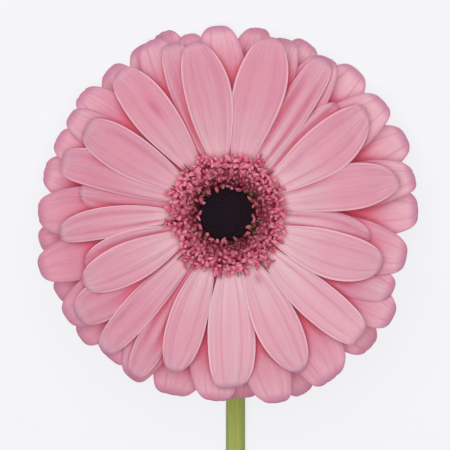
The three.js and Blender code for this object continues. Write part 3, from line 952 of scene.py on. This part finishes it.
def add_eye_bud(mesh, i):
    """A closed bud of the eye, leaning a little towards the middle."""
    radius, bearing = spiral(i, EYE_BUDS, 0, EYE_RADIUS - 0.3)
    share = radius / EYE_RADIUS
    rows = np.array([[0], [0.35], [0.7], [0.92], [1]])
    girths = (0.42 + 0.06 * draw(i, 51)) * np.array([[0.85], [1], [0.75], [0.4], [0.04]])
    bud = straight_tube(girths, (0.6 + 0.25 * share + 0.1 * draw(i, 52)) * rows)
    foot = np.array([radius, 0, DISC_FLOOR + EYE_WALL - 0.5 + EYE_CROWN * (1 - share ** 2)])
    points = turned_about_axis(bent(bud, -0.35 * share) + foot, bearing)
    mesh.tube(points, vectors(rows, 0, 0.5 + 0.5 * draw(i, 53)), (0, 0, 0))


def eye(material):
    mesh = Mesh()
    profile = [(EYE_RADIUS, DISC_FLOOR - 0.2), (EYE_RADIUS, DISC_FLOOR + 0.9)]
    for a in np.linspace(0, math.pi / 2, 12)[1:]:
        height = DISC_FLOOR + EYE_WALL - 0.4 + EYE_CROWN * math.sin(a) ** 2
        profile.append((EYE_RADIUS * math.cos(a) + 0.01, height))
    mesh.tube(turned(profile, EYE_SIDES), (0, 0, 0.5), (0, 0, 0))
    for i in range(EYE_BUDS):
        add_eye_bud(mesh, i)
    return mesh.build("eye_buds", material)


# Cup of bracts

def cup_wall(z):
    share = np.maximum(0, 1 + z / CUP_DEPTH)
    return STEM_COLLAR_RADIUS + (CUP_RADIUS - STEM_COLLAR_RADIUS) * np.sin((math.pi / 2) * share ** 0.8)


def bract_place(whorl, w, i, s, v, depth):
    """Points of a bract: s along it, v across it, and how far out from the middle of its thickness."""
    z = whorl["foot"] + (whorl["point"] - whorl["foot"]) * s
    half = whorl["width"] / 2 * (0.8 + 0.2 * np.sin(math.pi * s)) * (1 - s ** 3) ** 0.7
    stand = whorl["stand"] * smoothstep(s * 2.5) + whorl["flare"] * s ** 4 + 0.25 * draw(i, 60 + w) * s ** 3
    keel = 0.25 * bell(v / 0.25) - 0.35 * v ** 2
    radius = cup_wall(z) + stand + keel * (1 - s) + depth
    bearing = 2 * math.pi * (i + 0.5 * w + 0.12 * draw(i, 63 + w)) / whorl["count"]
    angle = bearing + v * half / np.maximum(radius, 1)
    return vectors(radius * np.cos(angle), radius * np.sin(angle), z)


def cup(material):
    mesh = Mesh()
    heights = np.linspace(-CUP_DEPTH, -0.3, 12)
    core = turned([(cup_wall(z), z) for z in heights], CUP_SIDES)
    mesh.tube(core, (0.1, 0.5, 0.5), (0, 0, 0))
    s = np.linspace(0, 1, BRACT_ROWS)[:, None]
    v = np.linspace(-1, 1, BRACT_COLUMNS)
    for w, whorl in enumerate(BRACT_WHORLS):
        for i in range(whorl["count"]):
            inner, outer = [bract_place(whorl, w, i, s, v, depth) for depth in BRACT_DEPTHS]
            place = vectors(s, v, 0.5 + 0.5 * draw(i, 66 + w))
            mesh.shell(inner, outer, place, (0, 0, 0), (0, 0, 0))
    return mesh.build("bracts", material)


# Stem

def stem_x(y):
    start, end = STEM_SIDESTEP_Y
    past = np.maximum(0, STEM_SWAY_START_Y - y)
    sway = np.sin(2 * math.pi * past / STEM_SWAY_PERIOD) * smoothstep(past / STEM_SWAY_EASE)
    return STEM_SIDESTEP * smoothstep((start - y) / (start - end)) - STEM_SWAY * sway


def stem_route():
    """The centre line from the cup to the cut, its directions, and the distance along it."""
    turn = math.pi / 2 - HEAD_TILT
    foot = np.array([0, HEAD_Y - CUP_DEPTH * math.cos(turn), HEAD_Z - CUP_DEPTH * math.sin(turn)])
    lie_y = foot[1] - STEM_BEND_RADIUS * math.cos(HEAD_TILT)
    lie_z = STEM_NECK_RADIUS * STEM_FLAT
    left = np.linspace(turn, 0, STEM_ROWS_BEND, endpoint=False)
    bend_y = lie_y + STEM_BEND_RADIUS * np.sin(left)
    bend_z = lie_z + STEM_BEND_RADIUS * (1 - np.cos(left))
    lying_y = np.linspace(lie_y, STEM_END_Y, STEM_ROWS_LYING)
    centre = np.concatenate([vectors(0, bend_y, bend_z), vectors(stem_x(lying_y), lying_y, lie_z)])
    slope = stem_x(lying_y - 0.5) - stem_x(lying_y + 0.5)
    along = np.concatenate([vectors(0, -np.cos(left), -np.sin(left)), vectors(slope, -1, 0)])
    along /= np.linalg.norm(along, axis=1, keepdims=True)
    steps = np.linalg.norm(np.diff(centre, axis=0), axis=1)
    distance = np.concatenate([[0], np.cumsum(steps)])
    return centre, along, distance


def stem_radius(distance, length):
    collar = (STEM_COLLAR_RADIUS - STEM_NECK_RADIUS) * (1 - smoothstep(distance / STEM_COLLAR_LENGTH))
    swelling = np.maximum(0, (distance - STEM_SWELL_START) / (length - STEM_SWELL_START))
    return STEM_NECK_RADIUS + collar + (STEM_CUT_RADIUS - STEM_NECK_RADIUS) * swelling


def stem_surface(around, shrink=1, out=0):
    """Points on the stem's skin, rows along it by angles from its top, and how far along the rows are."""
    centre, along, distance = stem_route()
    radius = stem_radius(distance, distance[-1])[:, None]
    sideways = vectors(1, 0, 0) - along * along[:, :1]
    sideways /= np.linalg.norm(sideways, axis=1, keepdims=True)
    upward = np.cross(along, sideways)
    ridges = 1 + STEM_RIDGE_HEIGHT * np.cos(STEM_RIDGES * around + 0.5 * np.sin(distance / 40)[:, None])
    reach = radius * ridges * shrink + out
    side, up = reach * np.sin(around), reach * np.cos(around)
    points = centre[:, None] + sideways[:, None] * side[..., None] + upward[:, None] * up[..., None]
    lying = along[:, 2:] == 0
    points[..., 2] += np.where(lying, (radius - STEM_NECK_RADIUS) * STEM_FLAT, 0)
    points[..., 2] = soft_max(points[..., 2], 0, 0.15)
    points[-1] -= CUT_SLANT * up[-1][:, None] * along[-1]
    return points, distance


def to_metres(points):
    return points * MM


def stem(material):
    around = angles(STEM_RING)
    points, distance = stem_surface(around)
    share = (distance / distance[-1])[:, None]
    place = vectors(share, np.sin(around), np.cos(around))
    mesh = Mesh()
    mesh.tube(points[:, ::-1], place[:, ::-1], (0, 0, 0))
    return mesh.build("stalk", material, to_metres)


def cut_face(material):
    """The slanted cut: a plug in the end of the stem, whose pith is a little sunken."""
    around = angles(STEM_RING)
    _, along, _ = stem_route()
    back, _ = stem_surface(around, shrink=0.9)
    rings = [back[-1] - along[-1] * CUT_PLUG]
    for outward in CUT_RINGS:
        points, _ = stem_surface(around, shrink=outward)
        beyond = CUT_LIP - PITH_SUNK * smoothstep((0.8 - outward) / 0.5)
        rings.append(points[-1] + along[-1] * beyond)
    outward = np.array([1, *CUT_RINGS])[:, None]
    place = vectors(outward, outward * np.sin(around), outward * np.cos(around))
    mesh = Mesh()
    mesh.tube(np.array(rings)[:, ::-1], place[:, ::-1], (0, 0, 0))
    return mesh.build("cut_face", material, to_metres)


# Fine hairs

def add_hair(mesh, root, direction, length, seed):
    """A three-sided spike."""
    side = np.cross(direction, (0.3, 0.5, 0.8))
    side /= np.linalg.norm(side)
    other = np.cross(direction, side)
    around = np.radians([90, 210, 330])
    ring = root + HAIR_GIRTH * (np.outer(np.cos(around), side) + np.outer(np.sin(around), other))
    tip = root + direction * length + side * 0.2 * length * draw(seed, 71)
    faces = [(0, 1, 3, 3), (1, 2, 3, 3), (2, 0, 3, 3), (0, 2, 1, 1)]
    mesh.add(np.vstack([ring, tip]), faces, vectors([0, 0, 0, 1], 0, 0.5), (0, 0, 0))


def stem_hairs(material):
    """Hairs all round the stem, except near the surface that it lies on."""
    mesh = Mesh()
    around = angles(HAIR_COLUMNS)
    skin, _ = stem_surface(around)
    beyond, _ = stem_surface(around, out=1)
    for i in range(STEM_HAIRS):
        row = int((0.5 + 0.5 * draw(i, 72)) * (len(skin) - 3))
        column = int((0.5 + 0.5 * draw(i, 73)) * (HAIR_COLUMNS - 1))
        share = 0.5 + 0.5 * draw(i, 74)
        root, tip = [
            grid[row, column] * (1 - share) + grid[row + 1, column] * share for grid in (skin, beyond)
        ]
        direction = tip - root
        length = np.linalg.norm(direction)
        if length < 0.6 or min(root[2], tip[2]) < HAIR_CLEARANCE:
            continue
        lean = np.array([draw(i, 75), draw(i, 76), 0.4 * draw(i, 77)]) * 0.35
        direction = direction / length + lean
        direction /= np.linalg.norm(direction)
        add_hair(mesh, root - 0.1 * direction, direction, 0.75 + 0.35 * draw(i, 78), i)
    return mesh.build("stalk_hairs", material, to_metres)


def bract_hairs(material):
    mesh = Mesh()
    for w, whorl in enumerate(BRACT_WHORLS):
        for i in range(whorl["count"]):
            for k in range(BRACT_HAIRS):
                seed = 10000 * w + 100 * i + k
                s = 0.08 + 0.86 * (k + 0.5) / BRACT_HAIRS
                v = 0.95 * (1 if k % 2 else -1) if k % 3 else 0.6 * draw(seed, 81)
                root = bract_place(whorl, w, i, s, v, 0.15)
                tip = bract_place(whorl, w, i, s + 0.05, v * 1.3, 1.3)
                direction = (tip - root) / np.linalg.norm(tip - root)
                add_hair(mesh, root, direction, 0.7 + 0.3 * draw(seed, 82), seed)
    return mesh.build("bract_hairs", material)


# Stage, light and camera

def floor():
    bpy.ops.mesh.primitive_plane_add(size=FLOOR_SIZE, location=(0, 0, 0))
    plane = bpy.context.object
    plane.name = "floor"
    n = Nodes("floor_paint")
    paint = n.finish(colour(*FLOOR_COLOUR), 0.9, Specular_IOR_Level=0.0,
                     Emission_Color=colour(*FLOOR_GLOW_COLOUR), Emission_Strength=FLOOR_GLOW)
    plane.data.materials.append(paint)


def studio():
    world = bpy.data.worlds.new("studio")
    bpy.context.scene.world = world
    world.use_nodes = True
    background = world.node_tree.nodes["Background"]
    background.inputs["Color"].default_value = (1, 1, 1, 1)
    background.inputs["Strength"].default_value = STUDIO_GLOW


def lamp():
    data = bpy.data.lights.new("lamp", "AREA")
    data.shape = "DISK"
    data.size = LAMP_SIZE
    data.energy = LAMP_POWER
    light = put_in_scene("lamp", data)
    light.location = LAMP_PLACE
    light.rotation_euler = (Vector(LAMP_AIM) - Vector(LAMP_PLACE)).to_track_quat("-Z", "Y").to_euler()


def camera():
    """Looks down the head's axis, with the head's centre at its pixel in the photograph."""
    head = Vector((0, HEAD_Y, HEAD_Z)) * MM
    right = Vector((1, 0, 0))
    outward = Vector((0, math.sin(HEAD_TILT), math.cos(HEAD_TILT)))
    upward = Vector((0, math.cos(HEAD_TILT), -math.sin(HEAD_TILT)))
    pixel = CAMERA_SENSOR / CAMERA_LENS * CAMERA_DISTANCE * MM / IMAGE_PIXELS
    across, down = [(place - IMAGE_PIXELS / 2) * pixel for place in HEAD_PIXEL]
    data = bpy.data.cameras.new("camera")
    data.lens = CAMERA_LENS
    data.sensor_width = CAMERA_SENSOR
    data.clip_start = 0.05
    data.clip_end = 50
    made = put_in_scene("camera", data)
    made.location = head + outward * CAMERA_DISTANCE * MM - right * across + upward * down
    made.rotation_euler = Matrix((right, upward, outward)).transposed().to_euler()
    bpy.context.scene.camera = made


def main():
    inner_skin = petal_material("petal_skin", (220, 164, 179), (250, 206, 215), 0.86, 0.45)
    # The outer whorls' skin has paler tips, partly painted light for petals that lie lower in shade, and a
    # mauve margin, a painted shade where their edges turn away.
    outer_skin = petal_material("outer_petal_skin", (228, 178, 191), (222, 156, 176), 0.7, 0.3)
    hair_skin = hair_material()
    dressed = [(piece, "ray_florets", "petal") for piece in petal_pieces(inner_skin, outer_skin)]
    dressed += [
        (receptacle(outer_skin), "ray_florets", "petal"),
        (florets(floret_material()), "disc_florets", "floret"),
        (eye(eye_material()), "disc_eye", "eye"),
        (cup(bract_material()), "involucre", "bract"),
        (bract_hairs(hair_skin), "involucre", "bract"),
        (stem(stem_material()), "stem", "stem"),
        (stem_hairs(hair_skin), "stem", "stem"),
        (cut_face(cut_material()), "stem", "stem"),
    ]
    for piece, node, slot in dressed:
        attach(piece, "root")
        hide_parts(node)
    floor()
    studio()
    lamp()
    camera()
    bpy.context.scene.view_settings.view_transform = "Standard"


main()
